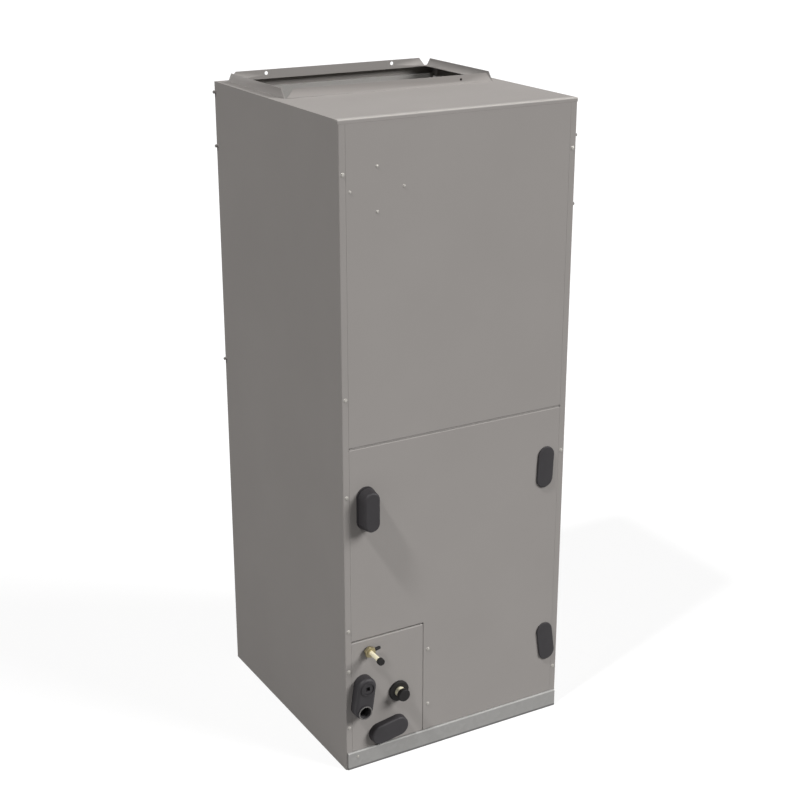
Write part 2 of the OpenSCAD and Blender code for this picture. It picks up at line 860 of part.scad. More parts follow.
module blower_wheel() {
    ring_w = 8;
    r0 = wheel_r - 21;
    r1 = wheel_r - 2;
    color(zinc)
        translate([0, axis_y, axis_z])
            difference() {
                union() {
                    along_x(-wheel_w / 2 + 1, wheel_w / 2 - 1)
                        for (i = [0 : blades - 1])
                            rotate(i * 360 / blades)
                                polygon(concat(blade_side(r0, r1, 0), reversed(blade_side(r0, r1, 0.7))));
                    for (x = [-wheel_w / 2, wheel_w / 2 - ring_w])
                        along_x(x, x + ring_w)
                            difference() {
                                circle(wheel_r, $fn = 96);
                                circle(wheel_r - 5, $fn = 96);
                            }
                    along_x(-1, 1) circle(wheel_r - 1, $fn = 96);
                    along_x(-18, 18) circle(20);
                }
                along_x(-20, 20) circle(shaft_d / 2 + clear);
            }
}

motor_x0 = 32;
motor_x1 = blower_w / 2 + motor_over;

module blower_motor() {
    color(rubber)
        translate([0, axis_y, axis_z]) {
            along_x(motor_x0, motor_x1) circle(motor_d / 2);
            along_x(-shaft_tail, motor_x0 + eps) circle(shaft_d / 2);
        }
}

// Band round the motor with three arms to the housing cheek
module motor_bracket() {
    x = blower_w / 2 + sheet;
    color(zinc)
        translate([0, axis_y, axis_z]) {
            along_x(x, x + band_w)
                difference() {
                    circle(motor_d / 2 + 2 + clear);
                    circle(motor_d / 2 + clear);
                }
            along_x(x, x + 3)
                for (a = [30, 150, 270])
                    rotate(a)
                        translate([motor_d / 2 + 1, -11]) square([inlet_r + 26 - motor_d / 2, 22]);
        }
}

// Left slab of the coil, leaning in to meet its twin at the ridge
module slab() {
    translate([-slab_foot / 2, 0, trough_floor])
        rotate([0, slab_a, 0])
            translate([-slab_t, -slab_l / 2, 0]) cube([slab_t, slab_l, slab_h]);
}

module coil_left_slab() {
    color(fins) slab();
}

module coil_right_slab() {
    color(fins) mirror([1, 0, 0]) slab();
}

// Sheet that closes the triangle between the slabs
module end_sheet(y) {
    edge = 22;
    foot_z = pan_z + pan_h + 4;
    ridge_z = trough_floor + slab_h * cos(slab_a) - 4;
    foot_x = slab_foot / 2 - (foot_z - trough_floor) * tan(slab_a) + edge;
    translate([0, y, 0])
        rotate([90, 0, 0])
            linear_extrude(sheet)
                polygon([[-foot_x, foot_z], [foot_x, foot_z], [edge, ridge_z], [-edge, ridge_z]]);
}

module coil_front_plate() {
    color(zinc) end_sheet(-slab_l / 2);
}

module coil_back_plate() {
    color(zinc) end_sheet(slab_l / 2 + sheet);
}

// Moulded tray with a trough all round and an open middle
module drain_pan() {
    x1 = pan_in_x;
    y1 = pan_y - end_trough;
    color(black_plastic)
        difference() {
            box([-pan_x, -pan_y, pan_z], [pan_x, pan_y, pan_z + pan_h]);
            difference() {
                box([-pan_x + pan_wall, -pan_y + pan_wall, trough_floor],
                    [pan_x - pan_wall, pan_y - pan_wall, pan_z + pan_h + 1]);
                box([-x1, -y1, pan_z], [x1, y1, pan_z + pan_h - inner_drop]);
            }
            box([-x1 + pan_wall, -y1 + pan_wall, pan_z - 1],
                [x1 - pan_wall, y1 - pan_wall, pan_z + pan_h + 1]);
        }
}

module left_coil_rail() {
    color(zinc) shelf_angle(pan_z);
}

module right_coil_rail() {
    color(zinc) mirror([1, 0, 0]) shelf_angle(pan_z);
}

left_side_panel();
right_side_panel();
back_panel();
top_panel();
upper_front_panel();
coil_access_panel();
connection_panel();
base_rail();
base_pan();
upper_left_drain_cap();
upper_right_drain_plug();
lower_right_drain_plug();
front_drain_cap();
drain_port_block();
upper_socket_plug();
liquid_line();
liquid_line_nut();
service_port_cap();
liquid_line_cap();
liquid_line_grommet();
suction_line();
suction_line_cap();
suction_line_grommet();
left_liner();
right_liner();
back_liner();
front_liner();
blower_deck();
left_deck_rail();
right_deck_rail();
blower_left_plate();
blower_right_plate();
blower_scroll();
blower_wheel();
blower_motor();
motor_bracket();
coil_left_slab();
coil_right_slab();
coil_front_plate();
coil_back_plate();
drain_pan();
left_coil_rail();
right_coil_rail();
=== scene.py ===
import json
import math

import bmesh
import bpy
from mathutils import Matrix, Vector


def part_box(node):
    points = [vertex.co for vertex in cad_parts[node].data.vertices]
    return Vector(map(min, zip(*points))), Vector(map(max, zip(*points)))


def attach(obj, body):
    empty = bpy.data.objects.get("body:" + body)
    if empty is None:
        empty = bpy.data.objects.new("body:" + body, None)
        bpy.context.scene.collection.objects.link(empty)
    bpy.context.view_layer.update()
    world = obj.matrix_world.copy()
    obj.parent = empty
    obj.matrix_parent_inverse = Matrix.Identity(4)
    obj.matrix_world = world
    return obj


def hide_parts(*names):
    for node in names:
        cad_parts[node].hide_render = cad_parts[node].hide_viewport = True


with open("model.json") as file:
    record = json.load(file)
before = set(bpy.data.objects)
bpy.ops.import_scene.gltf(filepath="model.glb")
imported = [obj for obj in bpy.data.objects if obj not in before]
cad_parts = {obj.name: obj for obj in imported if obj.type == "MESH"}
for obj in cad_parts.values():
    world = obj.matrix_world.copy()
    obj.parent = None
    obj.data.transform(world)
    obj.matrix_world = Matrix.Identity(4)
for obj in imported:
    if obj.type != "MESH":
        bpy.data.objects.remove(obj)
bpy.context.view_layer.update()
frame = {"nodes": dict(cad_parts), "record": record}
print("frame loaded,", len(frame["nodes"]), "nodes")

mm = 0.001
scene = bpy.context.scene
scene.view_settings.view_transform = "Standard"

# faces of the cabinet, taken from its own nodes; the top's is read near the front, clear of the flange
leftX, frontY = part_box("left_side_panel")[0][:2]
rightX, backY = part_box("right_side_panel")[1][:2]
nearFront = frontY + 20 * mm
topSpots = [vertex.co for vertex in bpy.data.objects["top_panel"].data.vertices]
lidZ = max(spot.z for spot in topSpots if spot.y < nearFront)


def linear(hexColour):
    channels = [int(hexColour[i:i + 2], 16) / 255 for i in (1, 3, 5)]
    return [c / 12.92 if c <= 0.04045 else ((c + 0.055) / 1.055) ** 2.4 for c in channels] + [1.0]


# adds one node to any tree: properties, input values, incoming links
def addNode(tree, kind, props=None, values=None, links=None):
    node = tree.nodes.new(kind)
    for name, value in (props or {}).items():
        setattr(node, name, value)
    for name, value in (values or {}).items():
        node.inputs[name].default_value = value
    for name, source in (links or {}).items():
        tree.links.new(source, node.inputs[name])
    return node


def newMaterial(name, shader):
    material = bpy.data.materials.new(name)
    material.use_nodes = True
    tree = material.node_tree
    tree.nodes.clear()
    surface = addNode(tree, "ShaderNodeBsdfPrincipled", values=shader)
    addNode(tree, "ShaderNodeOutputMaterial", links={"Surface": surface.outputs["BSDF"]})
    spot = addNode(tree, "ShaderNodeTexCoord").outputs["Object"]
    return material, tree, surface, spot


# camera, as fitted to the cabinet's corners
view = {"azimuth": -29.853, "elevation": 19.960, "lens": 68.894, "sensor": 36, "reach": 200,
        "place": (-1.54458, -2.73131, 1.83370)}
camera = bpy.data.objects.new("camera", bpy.data.cameras.new("camera"))
camera.data.lens = view["lens"]
camera.data.sensor_width = view["sensor"]
camera.data.clip_end = view["reach"]
camera.location = view["place"]
turn, tilt = math.radians(view["azimuth"]), math.radians(view["elevation"])
towards = Vector((-math.cos(tilt) * math.sin(turn), math.cos(tilt) * math.cos(turn), -math.sin(tilt)))
camera.rotation_euler = towards.to_track_quat("-Z", "Y").to_euler()
scene.collection.objects.link(camera)
scene.camera = camera
print("camera set")

# the main lamp from the front right, a steep one from the upper left, a wide weak fill from the left,
# and a low one that reaches only the back
lamps = {
    "mainLamp": {"towards": (1.0, -1.0, 0.92), "strength": 3.5, "angle": 28},
    "sideLamp": {"towards": (-3.35, -1.0, 5.6), "strength": 2.3, "angle": 5},
    "fillLamp": {"towards": (-1.0, -0.1, 0.15), "strength": 0.2, "angle": 50},
    "backLamp": {"towards": (0.1, 1.0, 0.05), "strength": 1.3, "angle": 20},
}
for name, lamp in lamps.items():
    light = bpy.data.lights.new(name, "SUN")
    light.energy = lamp["strength"]
    light.angle = math.radians(lamp["angle"])
    holder = bpy.data.objects.new(name, light)
    holder.rotation_euler = Vector(lamp["towards"]).to_track_quat("Z", "Y").to_euler()
    scene.collection.objects.link(holder)


# 1 where the camera looks, straight on or through gloss and glass, 0 for plain light
def whereSeen(tree):
    path = addNode(tree, "ShaderNodeLightPath").outputs
    gloss = addNode(tree, "ShaderNodeMath", {"operation": "MAXIMUM"},
                    links={0: path["Is Glossy Ray"], 1: path["Is Transmission Ray"]})
    seen = addNode(tree, "ShaderNodeMath", {"operation": "MAXIMUM"},
                   links={0: path["Is Camera Ray"], 1: gloss.outputs[0]})
    return seen.outputs[0]


# world: a little even light, plain white where it is seen
sky = {"light": 0.06, "seen": 1.0}
world = bpy.data.worlds.new("studio")
scene.world = world
world.use_nodes = True
tree = world.node_tree
tree.nodes.clear()
level = addNode(tree, "ShaderNodeMapRange", values={"To Min": sky["light"], "To Max": sky["seen"]},
                links={"Value": whereSeen(tree)})
glow = addNode(tree, "ShaderNodeBackground", values={"Color": linear("#ffffff")},
               links={"Strength": level.outputs["Result"]})
addNode(tree, "ShaderNodeOutputWorld", links={"Surface": glow.outputs[0]})

# floor: white paper that keeps the shadow and is lifted to white where it is seen
paper = {"size": 80.0, "tone": "#8e8e8e", "lift": 0.76}
floorMesh = bpy.data.meshes.new("studioFloor")
half = paper["size"] / 2
floorRim = [(-half, -half, 0), (half, -half, 0), (half, half, 0), (-half, half, 0)]
floorMesh.from_pydata(floorRim, [], [range(len(floorRim))])
studioFloor = bpy.data.objects.new("studioFloor", floorMesh)
scene.collection.objects.link(studioFloor)
floorPaper = bpy.data.materials.new("whitePaper")
floorPaper.use_nodes = True
tree = floorPaper.node_tree
tree.nodes.clear()
level = addNode(tree, "ShaderNodeMath", {"operation": "MULTIPLY"}, {1: paper["lift"]},
                {0: whereSeen(tree)})
matt = addNode(tree, "ShaderNodeBsdfDiffuse", values={"Color": linear(paper["tone"])})
glow = addNode(tree, "ShaderNodeEmission", values={"Color": linear("#ffffff")},
               links={"Strength": level.outputs[0]})
both = addNode(tree, "ShaderNodeAddShader", links={0: matt.outputs[0], 1: glow.outputs[0]})
addNode(tree, "ShaderNodeOutputMaterial", links={"Surface": both.outputs[0]})
floorMesh.materials.append(floorPaper)
print("floor and lamps set")


# two tones in soft patches, their size in millimetres, on the base colour; gives the pattern back
def mottle(tree, surface, spot, look):
    stain = addNode(tree, "ShaderNodeTexNoise", links={"Vector": spot},
                    values={"Scale": 1000 / look["patch"], "Detail": look["detail"]})
    tint = addNode(tree, "ShaderNodeMix", {"data_type": "RGBA"},
                   {6: linear(look["tones"][0]), 7: linear(look["tones"][1])}, {0: stain.outputs[0]})
    tree.links.new(tint.outputs[2], surface.inputs["Base Color"])
    return stain.outputs[0]


# polyester powder coat, oven baked on sheet steel: satin, with a fine orange peel and hardly any fleck,
# and a painted highlight: paler along the top's front bend
coat = {"tone": "#96928f", "fleck": "#918d8a", "cloud": 160, "roughness": (0.62, 0.74),
        "peel": 2.2, "peelDepth": 0.02, "peelStrength": 0.12,
        "paintedHighlight": "#ada9a5", "highlightBack": (18, 2), "highlightDown": (3, 1.5)}
powderCoat, tree, surface, spot = newMaterial("powderCoat", {"IOR": 1.5, "Specular IOR Level": 0.01})
cloud = addNode(tree, "ShaderNodeTexNoise", values={"Scale": 1000 / coat["cloud"], "Detail": 4},
                links={"Vector": spot})
tint = addNode(tree, "ShaderNodeMix", {"data_type": "RGBA"},
               {6: linear(coat["tone"]), 7: linear(coat["fleck"])}, {0: cloud.outputs[0]})
place = addNode(tree, "ShaderNodeSeparateXYZ", links={"Vector": spot})
# painted highlight: a paler band along the top's front bend, masked by depth and height
backRub = addNode(tree, "ShaderNodeMapRange", links={"Value": place.outputs["Y"]}, values={
    "From Min": frontY + coat["highlightBack"][0] * mm, "From Max": frontY + coat["highlightBack"][1] * mm})
downRub = addNode(tree, "ShaderNodeMapRange", links={"Value": place.outputs["Z"]}, values={
    "From Min": lidZ - coat["highlightDown"][0] * mm, "From Max": lidZ - coat["highlightDown"][1] * mm})
rub = addNode(tree, "ShaderNodeMath", {"operation": "MULTIPLY"},
              links={0: backRub.outputs[0], 1: downRub.outputs[0]})
# the paler tone that paints the highlight on the bend
tint = addNode(tree, "ShaderNodeMix", {"data_type": "RGBA"}, {7: linear(coat["paintedHighlight"])},
               {6: tint.outputs[2], 0: rub.outputs[0]})
tree.links.new(tint.outputs[2], surface.inputs["Base Color"])
gloss = addNode(tree, "ShaderNodeMapRange",
                values={"To Min": coat["roughness"][0], "To Max": coat["roughness"][1]},
                links={"Value": cloud.outputs[0]})
tree.links.new(gloss.outputs[0], surface.inputs["Roughness"])
# real peel is about 1 mm across, drawn at 2.2 mm so that it still shows
peel = addNode(tree, "ShaderNodeTexNoise", values={"Scale": 1000 / coat["peel"], "Detail": 2},
               links={"Vector": spot})
bump = addNode(tree, "ShaderNodeBump",
               values={"Strength": coat["peelStrength"], "Distance": coat["peelDepth"] * mm},
               links={"Height": peel.outputs[0]})
tree.links.new(bump.outputs[0], surface.inputs["Normal"])

# hot-dip galvanised steel: flat zinc crystals about 10 mm across under a dull oxide film that scatters
# half of the light, with painted shade: darker in the lowest few millimetres, at the foot
zinc = {"light": "#8f8e8c", "dark": "#8c8b89", "crystal": 10, "roughness": (0.62, 0.7),
        "footShade": "#5e5d5c", "footShadeUp": (7, 4.5)}
galvanisedSteel, tree, surface, spot = newMaterial("galvanisedSteel", {"Metallic": 0.45})
crystal = addNode(tree, "ShaderNodeTexVoronoi", links={"Vector": spot},
                  values={"Scale": 1000 / zinc["crystal"], "Randomness": 1.0})
shade = addNode(tree, "ShaderNodeSeparateColor", links={"Color": crystal.outputs["Color"]})
tint = addNode(tree, "ShaderNodeMix", {"data_type": "RGBA"},
               {6: linear(zinc["light"]), 7: linear(zinc["dark"])}, {0: shade.outputs[0]})
place = addNode(tree, "ShaderNodeSeparateXYZ", links={"Vector": spot})
# painted shade: darkens the lowest few millimetres, where the parts meet the floor
atFoot = addNode(tree, "ShaderNodeMapRange", links={"Value": place.outputs["Z"]}, values={
    "From Min": zinc["footShadeUp"][0] * mm, "From Max": zinc["footShadeUp"][1] * mm})
tint = addNode(tree, "ShaderNodeMix", {"data_type": "RGBA"}, {7: linear(zinc["footShade"])},
               {6: tint.outputs[2], 0: atFoot.outputs[0]})
tree.links.new(tint.outputs[2], surface.inputs["Base Color"])
gloss = addNode(tree, "ShaderNodeMapRange",
                values={"To Min": zinc["roughness"][0], "To Max": zinc["roughness"][1]},
                links={"Value": shade.outputs[1]})
tree.links.new(gloss.outputs[0], surface.inputs["Roughness"])

# black ABS from a spark-eroded mould: even fine grain, dull
plastic = {"tones": ("#272527", "#2f2d2f"), "patch": 28, "detail": 3,
           "grain": 0.9, "grainDepth": 0.06, "grainStrength": 0.4}
blackAbs, tree, surface, spot = newMaterial(
    "blackAbs", {"Roughness": 0.55, "IOR": 1.53, "Specular IOR Level": 0.25})
mottle(tree, surface, spot, plastic)
grain = addNode(tree, "ShaderNodeTexNoise", values={"Scale": 1000 / plastic["grain"], "Detail": 3},
                links={"Vector": spot})
bump = addNode(tree, "ShaderNodeBump",
               values={"Strength": plastic["grainStrength"], "Distance": plastic["grainDepth"] * mm},
               links={"Height": grain.outputs[0]})
tree.links.new(bump.outputs[0], surface.inputs["Normal"])

# the same ABS where it was trimmed: grey stress whitening, rough; its paleness is also a painted highlight
# for the socket's rim
cut = {"tones": ("#5a5856", "#757371"), "patch": 5, "detail": 3}
trimmedAbs, tree, surface, spot = newMaterial(
    "trimmedAbs", {"Roughness": 0.7, "IOR": 1.53, "Specular IOR Level": 0.25})
mottle(tree, surface, spot, cut)

# EPDM rubber: almost black, dusty bloom
epdm = {"tones": ("#121111", "#1d1c1b"), "patch": 9, "detail": 5}
epdmRubber, tree, surface, spot = newMaterial(
    "epdmRubber", {"Roughness": 0.62, "IOR": 1.5, "Specular IOR Level": 0.2})
mottle(tree, surface, spot, epdm)

# closed-cell polyethylene foam: grey, dull, with small open pores on its skin
foam = {"tone": "#96928f", "pore": "#7f7c79", "cell": 1.2}
foamTape, tree, surface, spot = newMaterial(
    "polyethyleneFoam", {"Roughness": 0.85, "IOR": 1.5, "Specular IOR Level": 0.05})
pores = addNode(tree, "ShaderNodeTexVoronoi", values={"Scale": 1000 / foam["cell"], "Randomness": 1.0},
                links={"Vector": spot})
tint = addNode(tree, "ShaderNodeMix", {"data_type": "RGBA"},
               {6: linear(foam["tone"]), 7: linear(foam["pore"])}, {0: pores.outputs["Distance"]})
tree.links.new(tint.outputs[2], surface.inputs["Base Color"])

# drawn brass tube, pickled: pale yellow under a thin film that scatters about half of the light
drawn = {"tones": ("#fbf6dd", "#f1e8c6"), "patch": 14, "detail": 4, "roughness": (0.38, 0.5)}
brass, tree, surface, spot = newMaterial("brass", {"Metallic": 0.4})
stain = mottle(tree, surface, spot, drawn)
gloss = addNode(tree, "ShaderNodeMapRange",
                values={"To Min": drawn["roughness"][0], "To Max": drawn["roughness"][1]},
                links={"Value": stain})
tree.links.new(gloss.outputs[0], surface.inputs["Roughness"])

# turned brass of the flare nut, tarnished brown
nut = {"tones": ("#9c9274", "#7f765a"), "patch": 8, "detail": 4}
turnedBrass, tree, surface, spot = newMaterial("turnedBrass", {"Metallic": 0.8, "Roughness": 0.5})
mottle(tree, surface, spot, nut)

# soft copper tube, slightly tarnished
tube = {"tones": ("#d9a27c", "#a9714e"), "patch": 18, "detail": 4}
copperTube, tree, surface, spot = newMaterial("copperTube", {"Metallic": 1.0, "Roughness": 0.32})
mottle(tree, surface, spot, tube)

# zinc plated screw steel: bright and a little uneven
plated = {"tones": ("#a8a5a0", "#908e89"), "patch": 4, "detail": 2}
zincPlate, tree, surface, spot = newMaterial("zincPlatedSteel", {"Metallic": 1.0, "Roughness": 0.5})
mottle(tree, surface, spot, plated)

# glass fibre board with a grey bonded face: matted fibres, no gloss
board = {"tone": "#95928f", "fibre": "#a19f9c", "strand": 3.0, "stretch": (1, 1, 0.35), "tangle": 1.5,
         "depth": 0.6, "strength": 0.6}
glassBoard, tree, surface, spot = newMaterial(
    "glassFibreBoard", {"Roughness": 0.95, "Specular IOR Level": 0.1})
stretched = addNode(tree, "ShaderNodeMapping", values={"Scale": board["stretch"]}, links={"Vector": spot})
strand = addNode(tree, "ShaderNodeTexNoise", links={"Vector": stretched.outputs[0]},
                 values={"Scale": 1000 / board["strand"], "Detail": 6, "Distortion": board["tangle"]})
tint = addNode(tree, "ShaderNodeMix", {"data_type": "RGBA"},
               {6: linear(board["tone"]), 7: linear(board["fibre"])}, {0: strand.outputs[0]})
tree.links.new(tint.outputs[2], surface.inputs["Base Color"])
bump = addNode(tree, "ShaderNodeBump", links={"Height": strand.outputs[0]},
               values={"Strength": board["strength"], "Distance": board["depth"] * mm})
tree.links.new(bump.outputs[0], surface.inputs["Normal"])

# mill finish aluminium foil for the fins
foil = {"tones": ("#d7dadb", "#bcc0c2"), "patch": 60, "detail": 3}
finFoil, tree, surface, spot = newMaterial("millAluminium", {"Metallic": 1.0, "Roughness": 0.42})
mottle(tree, surface, spot, foil)

# baked black enamel on the motor shell
shell = {"tones": ("#161617", "#242425"), "patch": 35, "detail": 4}
motorEnamel, tree, surface, spot = newMaterial("bakedEnamel", {"Roughness": 0.34, "IOR": 1.5})
mottle(tree, surface, spot, shell)

finishes = {
    powderCoat: ["left_side_panel", "right_side_panel", "back_panel", "top_panel", "upper_front_panel",
                 "coil_access_panel", "connection_panel"],
    galvanisedSteel: ["base_rail", "base_pan", "blower_deck", "left_deck_rail", "right_deck_rail",
                      "blower_left_plate", "blower_right_plate", "blower_scroll", "blower_wheel",
                      "motor_bracket", "coil_front_plate", "coil_back_plate", "left_coil_rail",
                      "right_coil_rail"],
    blackAbs: ["upper_left_drain_cap", "upper_right_drain_plug", "lower_right_drain_plug",
               "front_drain_cap", "drain_port_block", "upper_socket_plug", "drain_pan"],
    epdmRubber: ["service_port_cap", "liquid_line_cap", "liquid_line_grommet", "suction_line_cap",
                 "suction_line_grommet"],
    brass: ["liquid_line", "suction_line"],
    turnedBrass: ["liquid_line_nut"],
    glassBoard: ["left_liner", "right_liner", "back_liner", "front_liner"],
    finFoil: ["coil_left_slab", "coil_right_slab"],
    motorEnamel: ["blower_motor"],
}
for material, names in finishes.items():
    for name in names:
        mesh = bpy.data.objects[name].data
        mesh.materials.clear()
        mesh.materials.append(material)
print("finishes set on", sum(len(names) for names in finishes.values()), "nodes")


# runs a node tree on a seed mesh and keeps the result as a plain mesh
def growPiece(name, seed, tree, sizes):
    piece = bpy.data.objects.new(name, seed)
    scene.collection.objects.link(piece)
    grower = piece.modifiers.new("grow", "NODES")
    grower.node_group = tree
    for item in tree.interface.items_tree:
        if item.item_type == "SOCKET" and item.in_out == "INPUT" and item.name in sizes:
            grower[item.identifier] = sizes[item.name]
    bpy.context.view_layer.update()
    ready = piece.evaluated_get(bpy.context.evaluated_depsgraph_get())
    grown = bpy.data.meshes.new_from_object(ready)
    piece.modifiers.remove(grower)
    piece.data = grown
    grown.name = name
    return piece


def newTree(name, sizes):
    tree = bpy.data.node_groups.new(name, "GeometryNodeTree")
    tree.is_modifier = True
    tree.interface.new_socket("Geometry", in_out="INPUT", socket_type="NodeSocketGeometry")
    tree.interface.new_socket("Geometry", in_out="OUTPUT", socket_type="NodeSocketGeometry")
    for size, kind in sizes.items():
        tree.interface.new_socket(size, in_out="INPUT", socket_type=kind)
    start = addNode(tree, "NodeGroupInput")
    end = addNode(tree, "NodeGroupOutput")
    return tree, start.outputs, end.inputs


# hex washer head screws: a hexagon on a dished flange
hexScrew = {"Flange Radius": 4.3 * mm, "Flange Height": 0.7 * mm, "Hex Radius": 3.1 * mm,
            "Head Height": 1.5 * mm, "Seed": 4}
smallScrew = {"Flange Radius": 3.2 * mm, "Flange Height": 0.5 * mm, "Hex Radius": 2.3 * mm,
              "Head Height": 1.3 * mm, "Seed": 9}
edgeScrew = {"Flange Radius": 4.3 * mm, "Flange Height": 1.0 * mm, "Hex Radius": 3.4 * mm,
             "Head Height": 5.0 * mm, "Seed": 2}
screwShape = {"flangeSides": 18, "flangeTop": 0.86, "crownTop": 0.72, "crownHeight": 0.2}
screwTree, given, out = newTree("hexScrews", {
    "Flange Radius": "NodeSocketFloat", "Flange Height": "NodeSocketFloat", "Hex Radius": "NodeSocketFloat",
    "Head Height": "NodeSocketFloat", "Seed": "NodeSocketInt", "Finish": "NodeSocketMaterial"})
narrow = addNode(screwTree, "ShaderNodeMath", {"operation": "MULTIPLY"}, {1: screwShape["flangeTop"]},
                 {0: given["Flange Radius"]})
flange = addNode(screwTree, "GeometryNodeMeshCone", values={"Vertices": screwShape["flangeSides"]},
                 links={"Radius Top": narrow.outputs[0], "Radius Bottom": given["Flange Radius"],
                        "Depth": given["Flange Height"]})
hexBody = addNode(screwTree, "GeometryNodeMeshCone", values={"Vertices": 6},
                  links={"Radius Top": given["Hex Radius"], "Radius Bottom": given["Hex Radius"],
                         "Depth": given["Head Height"]})
crownTop = addNode(screwTree, "ShaderNodeMath", {"operation": "MULTIPLY"}, {1: screwShape["crownTop"]},
                   {0: given["Hex Radius"]})
crownHeight = addNode(screwTree, "ShaderNodeMath", {"operation": "MULTIPLY"},
                      {1: screwShape["crownHeight"]}, {0: given["Head Height"]})
crown = addNode(screwTree, "GeometryNodeMeshCone", values={"Vertices": 6},
                links={"Radius Top": crownTop.outputs[0], "Radius Bottom": given["Hex Radius"],
                       "Depth": crownHeight.outputs[0]})
lift = addNode(screwTree, "ShaderNodeCombineXYZ", links={"Z": given["Head Height"]})
crown = addNode(screwTree, "GeometryNodeTransform",
                links={"Geometry": crown.outputs["Mesh"], "Translation": lift.outputs[0]})
head = addNode(screwTree, "GeometryNodeJoinGeometry")
for part in (flange.outputs["Mesh"], hexBody.outputs["Mesh"], crown.outputs[0]):
    screwTree.links.new(part, head.inputs[0])
facing = addNode(screwTree, "GeometryNodeInputNamedAttribute", {"data_type": "FLOAT_VECTOR"},
                 {"Name": "facing"})
stand = addNode(screwTree, "FunctionNodeAlignRotationToVector", {"axis": "Z"},
                links={"Vector": facing.outputs[0]})
spin = addNode(screwTree, "FunctionNodeRandomValue", {"data_type": "FLOAT_VECTOR"},
               {0: (0, 0, 0), 1: (0, 0, math.radians(60))}, {"Seed": given["Seed"]})
driven = addNode(screwTree, "FunctionNodeRotateRotation", {"rotation_space": "LOCAL"},
                 links={"Rotation": stand.outputs[0], "Rotate By": spin.outputs[0]})
placed = addNode(screwTree, "GeometryNodeInstanceOnPoints",
                 links={"Points": given["Geometry"], "Instance": head.outputs[0],
                        "Rotation": driven.outputs[0]})
real = addNode(screwTree, "GeometryNodeRealizeInstances", links={"Geometry": placed.outputs[0]})
coated = addNode(screwTree, "GeometryNodeSetMaterial",
                 links={"Geometry": real.outputs[0], "Material": given["Finish"]})
screwTree.links.new(coated.outputs[0], out["Geometry"])

edgeHeights = (1344.5, 1231, 755.5)
edgeAlong = (backY - frontY) / mm - 4.5  # the flank screws sit close to the back edge
# places in millimetres on a face: along from the left or the front edge, then up from the base
screwRows = {
    "frontScrews": {"facing": (0, -1, 0), "face": frontY, "spots": [
        (9, 1265.5), (9, 826.5), (9, 621.7), (9, 324.9), (9, 232.5), (9, 99.7),
        (524.5, 1267), (524.5, 622), (524.5, 101),
        (198.2, 233.9), (198.3, 101.8)]},
    "controlScrews": {"facing": (0, -1, 0), "face": frontY, "size": smallScrew,
                      "spots": [(23.8, 1231.7), (81.5, 1275), (139, 1232), (81.5, 1189)]},
    "railScrew": {"facing": (0, -1, 0), "face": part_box("base_rail")[0][1], "size": smallScrew,
                  "spots": [(25.4, 28.4)]},
    "leftScrews": {"facing": (-1, 0, 0), "face": leftX, "size": edgeScrew, "finish": powderCoat,
                   "spots": [(edgeAlong, up) for up in edgeHeights]},
    "rightScrews": {"facing": (1, 0, 0), "face": rightX, "size": edgeScrew, "finish": powderCoat,
                    "spots": [(8, 1291), (8, 1152)] + [(edgeAlong, up) for up in edgeHeights]},
    "backScrews": {"facing": (0, 1, 0), "face": backY, "spots": [
        (60, 1352), (200, 1352), (333, 1352), (473, 1352), (60, 14), (266, 14), (473, 14)]},
}
for name, row in screwRows.items():
    seed = bpy.data.meshes.new(name)
    if row["facing"][0]:
        points = [(row["face"], frontY + along * mm, up * mm) for along, up in row["spots"]]
    else:
        points = [(leftX + along * mm, row["face"], up * mm) for along, up in row["spots"]]
    seed.from_pydata(points, [], [])
    aim = seed.attributes.new("facing", "FLOAT_VECTOR", "POINT")
    for i in range(len(points)):
        aim.data[i].vector = row["facing"]
    finish = row.get("finish", zincPlate)
    screws = growPiece(name, seed, screwTree, {**row.get("size", hexScrew), "Finish": finish})
    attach(screws, "root")
print("screws set,", sum(len(row["spots"]) for row in screwRows.values()))


# two edges and the foot of a leaning slab, read off its node
def slabFrame(name):
    holder = bpy.data.objects[name]
    spots = [holder.matrix_world @ vertex.co for vertex in holder.data.vertices]
    low = min(spots, key=lambda spot: spot.z)
    corners = {(round(spot.x, 5), round(spot.z, 5)) for spot in spots}
    near = sorted(corners, key=lambda c: (c[0] - low.x) ** 2 + (c[1] - low.z) ** 2)
    foot, across, ridge = [Vector((x, 0, z)) for x, z in near[:3]]
    return foot, across - foot, ridge - foot


# block spanned by three edges from one corner
def addBlock(shape, corner, edges):
    rim = [shape.verts.new(corner + edges[0] * a + edges[1] * b + edges[2] * c)
           for a in (0, 1) for b in (0, 1) for c in (0, 1)]
    for ring in ((0, 1, 3, 2), (4, 6, 7, 5), (0, 4, 5, 1), (2, 3, 7, 6), (0, 2, 6, 4), (1, 5, 7, 3)):
        shape.faces.new([rim[i] for i in ring])


def meshOf(name, shape):
    bmesh.ops.recalc_face_normals(shape, faces=shape.faces)
    mesh = bpy.data.meshes.new(name)
    shape.to_mesh(mesh)
    shape.free()
    return mesh


